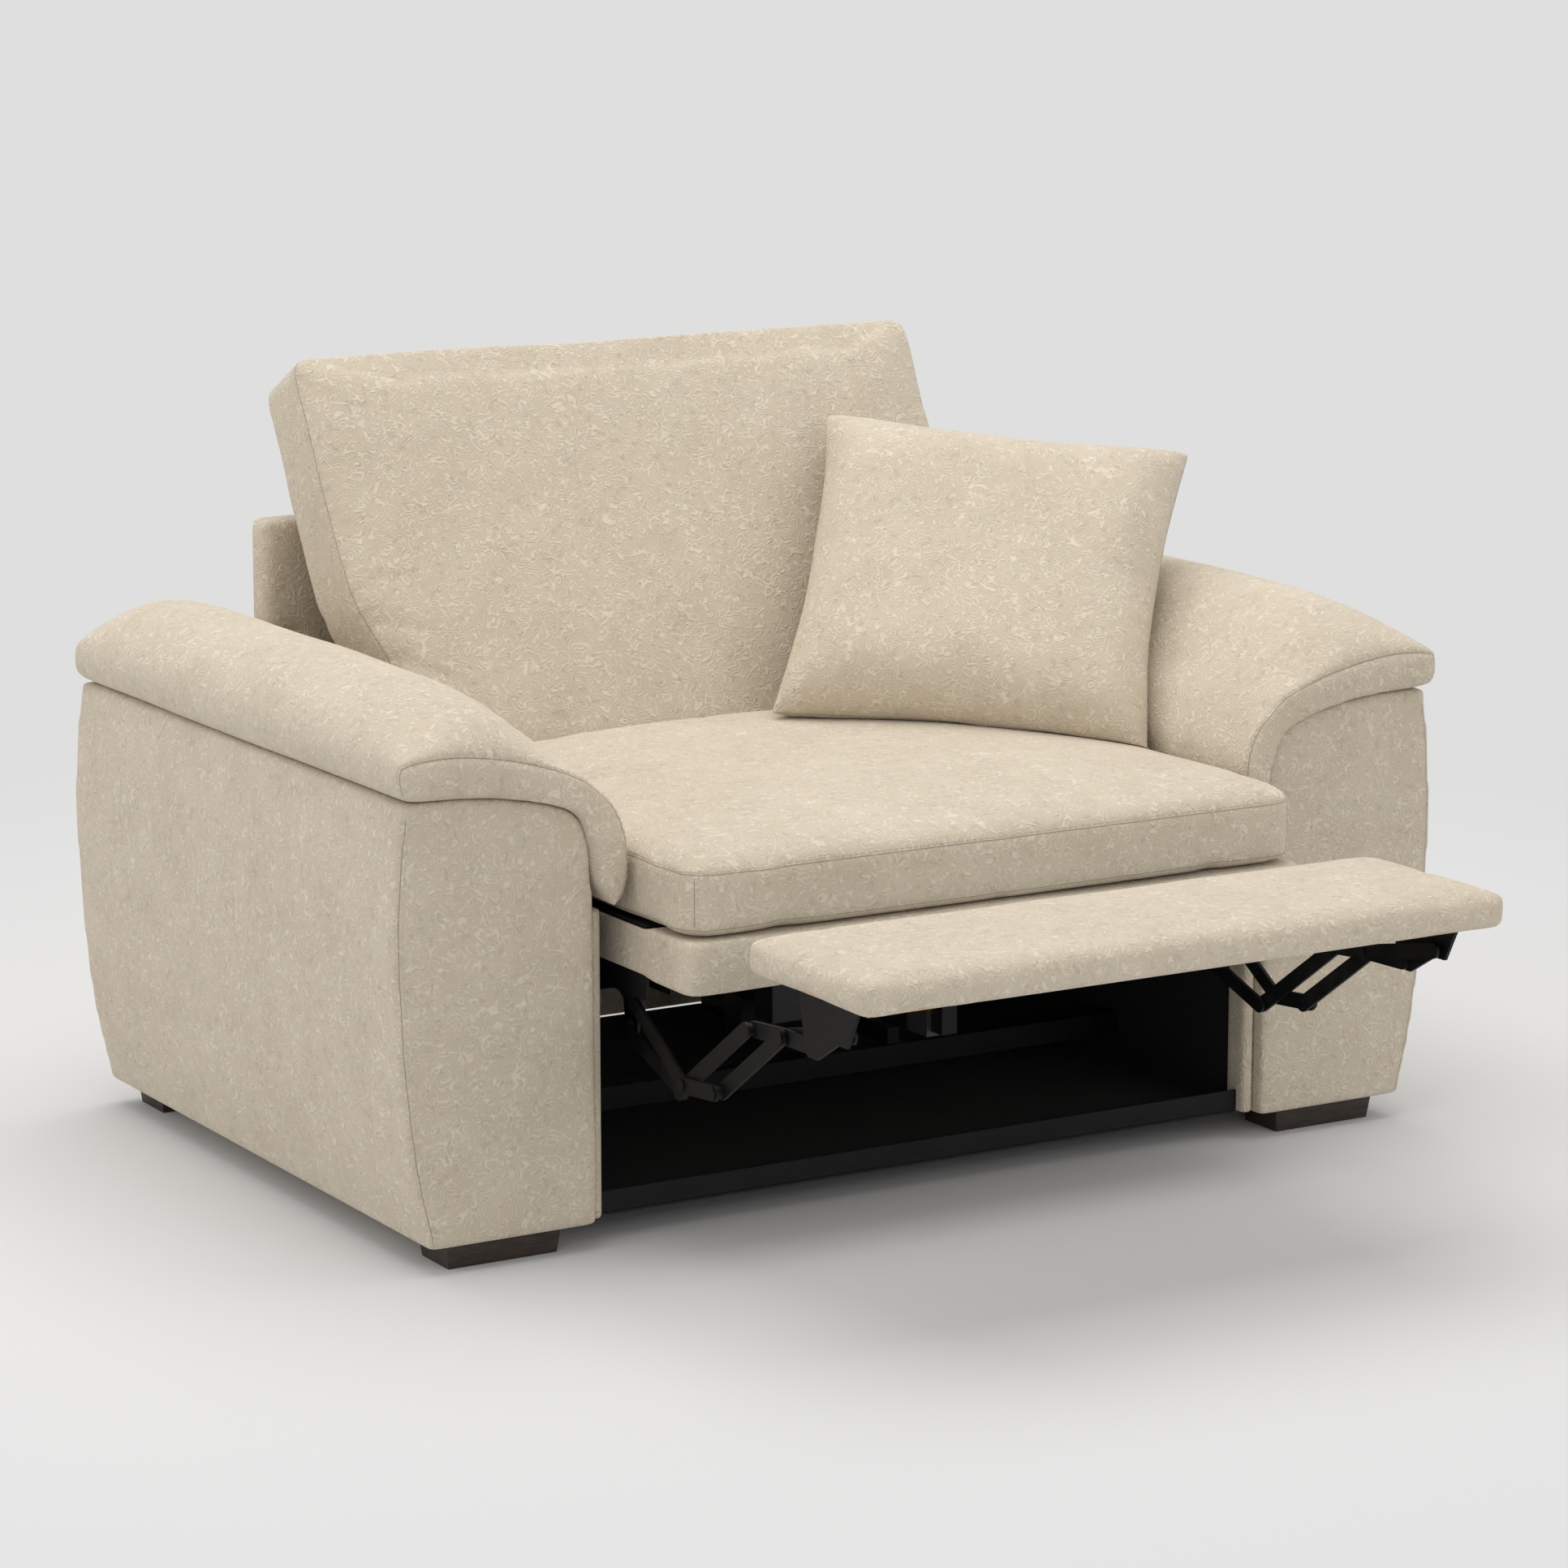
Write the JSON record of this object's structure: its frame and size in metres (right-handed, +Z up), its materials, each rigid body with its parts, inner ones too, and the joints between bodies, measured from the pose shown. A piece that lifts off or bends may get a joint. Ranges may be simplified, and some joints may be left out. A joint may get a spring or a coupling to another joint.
{
  "type": "recliner armchair",
  "caption": "Wide upholstered power recliner armchair with pillow-top arms, fold-out footrest on a steel linkage, tilting back and a loose cushion.",
  "frame": {"origin": "on the floor under the middle of the chair's box, footrest out", "axes": "+Z up, the chair faces -Y, +X to the right as seen from in front of the chair"},
  "size_m": [1.378, 1.3726, 0.9002],
  "materials": {
    "body_fabric": "woven chenille, matte",
    "black_lining": "non-woven, matte",
    "foot_wood": "espresso stain, satin",
    "frame_wood": "raw plywood",
    "mechanism_steel": "satin black",
    "spring_steel": "satin",
    "nylon": "matte",
    "motor_plastic": "matte",
    "button_plastic": "satin"
  },
  "bodies": {
    "base": {"left_arm_cover": "body_fabric", "right_arm_cover": "body_fabric", "left_arm_frame": "frame_wood", "right_arm_frame": "frame_wood", "left_arm_pad": "body_fabric", "right_arm_pad": "body_fabric", "arm_front_strips": "body_fabric", "inner_linings": "black_lining", "foot_front_left": "foot_wood", "foot_front_right": "foot_wood", "foot_rear_left": "foot_wood", "foot_rear_right": "foot_wood", "foot_screws": "spring_steel", "outside_back": "body_fabric", "base_front_rail": "mechanism_steel", "base_middle_rail": "mechanism_steel", "base_rear_rail": "mechanism_steel", "glide_channels": "mechanism_steel", "power_inlet": "motor_plastic", "power_supply": "motor_plastic", "recline_drive_rail": "mechanism_steel", "recline_motor": "motor_plastic", "control_panel": "motor_plastic"},
    "seat": {"seat_cushion": "body_fabric", "seat_front_cover": "body_fabric", "seat_front_rail": "frame_wood", "seat_cross_tube": "mechanism_steel", "seat_rear_rail": "frame_wood", "seat_side_rails": "frame_wood", "seat_springs": "spring_steel", "left_side_plate": "mechanism_steel", "right_side_plate": "mechanism_steel", "glide_blocks": "nylon", "footrest_drive_rail": "mechanism_steel", "footrest_motor": "motor_plastic", "recline_drive_block": "nylon", "back_pivot_bolts": "spring_steel"},
    "back": {"back_cushion": "body_fabric", "back_frame": "frame_wood", "back_rear_panel": "body_fabric", "back_springs": "spring_steel", "back_brackets": "mechanism_steel"},
    "rear_links": {"left_rear_link": "mechanism_steel", "right_rear_link": "mechanism_steel", "drive_shaft": "mechanism_steel"},
    "lift_links": {"left_lift_link": "mechanism_steel", "right_lift_link": "mechanism_steel"},
    "support_links": {"left_support_link": "mechanism_steel", "right_support_link": "mechanism_steel"},
    "toggle_links": {"left_toggle_link": "mechanism_steel", "right_toggle_link": "mechanism_steel"},
    "curved_links": {"curved_links": "mechanism_steel"},
    "control_links": {"control_links": "mechanism_steel"},
    "footrest": {"footrest_brackets": "mechanism_steel", "footrest_board": "frame_wood", "footrest_pad": "body_fabric"},
    "drive_block": {"footrest_drive_block": "nylon"},
    "open_button": {"button_open": "button_plastic"},
    "close_button": {"button_close": "button_plastic"},
    "scatter": {"scatter_cushion": "body_fabric"}
  },
  "joints": [
    {"name": "seat_glide", "type": "slide", "parent": "base", "child": "seat", "axis": [0, -1, 0], "range_m": [-0.04, 0.07]},
    {"name": "back_recline", "type": "hinge", "parent": "seat", "child": "back", "pos_m": [0, 0.4107, 0.42], "axis": [-1, 0, 0], "range_deg": [-5.6, 9.75]},
    {"name": "footrest_fold", "type": "hinge", "parent": "seat", "child": "rear_links", "pos_m": [0, -0.1293, 0.3], "axis": [-1, 0, 0], "range_deg": [-48.1, 0]},
    {"name": "lift_fold", "type": "hinge", "parent": "rear_links", "child": "lift_links", "pos_m": [0, -0.2853, 0.203], "axis": [-1, 0, 0], "range_deg": [0, 115]},
    {"name": "support_fold", "type": "hinge", "parent": "rear_links", "child": "support_links", "pos_m": [0, -0.3513, 0.209], "axis": [-1, 0, 0], "range_deg": [0, 115]},
    {"name": "toggle_fold", "type": "hinge", "parent": "lift_links", "child": "toggle_links", "pos_m": [0, -0.4093, 0.29], "axis": [-1, 0, 0], "range_deg": [-115, 0]},
    {"name": "footrest_turn", "type": "hinge", "parent": "toggle_links", "child": "footrest", "pos_m": [0, -0.5393, 0.298], "axis": [-1, 0, 0], "range_deg": [-42, 0]},
    {"name": "curved_fold", "type": "hinge", "parent": "seat", "child": "curved_links", "pos_m": [0, -0.1283, 0.236], "axis": [-1, 0, 0], "range_deg": [-57, 0]},
    {"name": "control_fold", "type": "hinge", "parent": "toggle_links", "child": "control_links", "pos_m": [0, -0.4753, 0.296], "axis": [-1, 0, 0], "range_deg": [-21.5, 0]},
    {"name": "drive_block_slide", "type": "slide", "parent": "seat", "child": "drive_block", "axis": [0, 1, 0], "range_m": [0, 0.0575]},
    {"name": "open_button_press", "type": "slide", "parent": "base", "child": "open_button", "axis": [-1, 0, 0], "range_m": [0, 0.0016], "stiffness_N_per_m": 400},
    {"name": "close_button_press", "type": "slide", "parent": "base", "child": "close_button", "axis": [-1, 0, 0], "range_m": [0, 0.0016], "stiffness_N_per_m": 400},
    {"name": "scatter_lift_off", "type": "slide", "parent": "seat", "child": "scatter", "axis": [0, 0, 1], "range_m": [0, 0.3]}
  ],
  "couplings": [
    {"joint": "back_recline", "follows": "seat_glide", "rad_per_m": 2.4},
    {"joint": "lift_fold", "follows": "footrest_fold", "ratio": -2.3853},
    {"joint": "support_fold", "follows": "footrest_fold", "ratio": -2.3853},
    {"joint": "toggle_fold", "follows": "footrest_fold", "ratio": 2.3853},
    {"joint": "footrest_turn", "follows": "footrest_fold", "ratio": 0.87076},
    {"joint": "curved_fold", "follows": "footrest_fold", "ratio": 1.1749},
    {"joint": "control_fold", "follows": "footrest_fold", "ratio": 0.43868},
    {"joint": "drive_block_slide", "follows": "footrest_fold", "m_per_rad": -0.068}
  ]
}
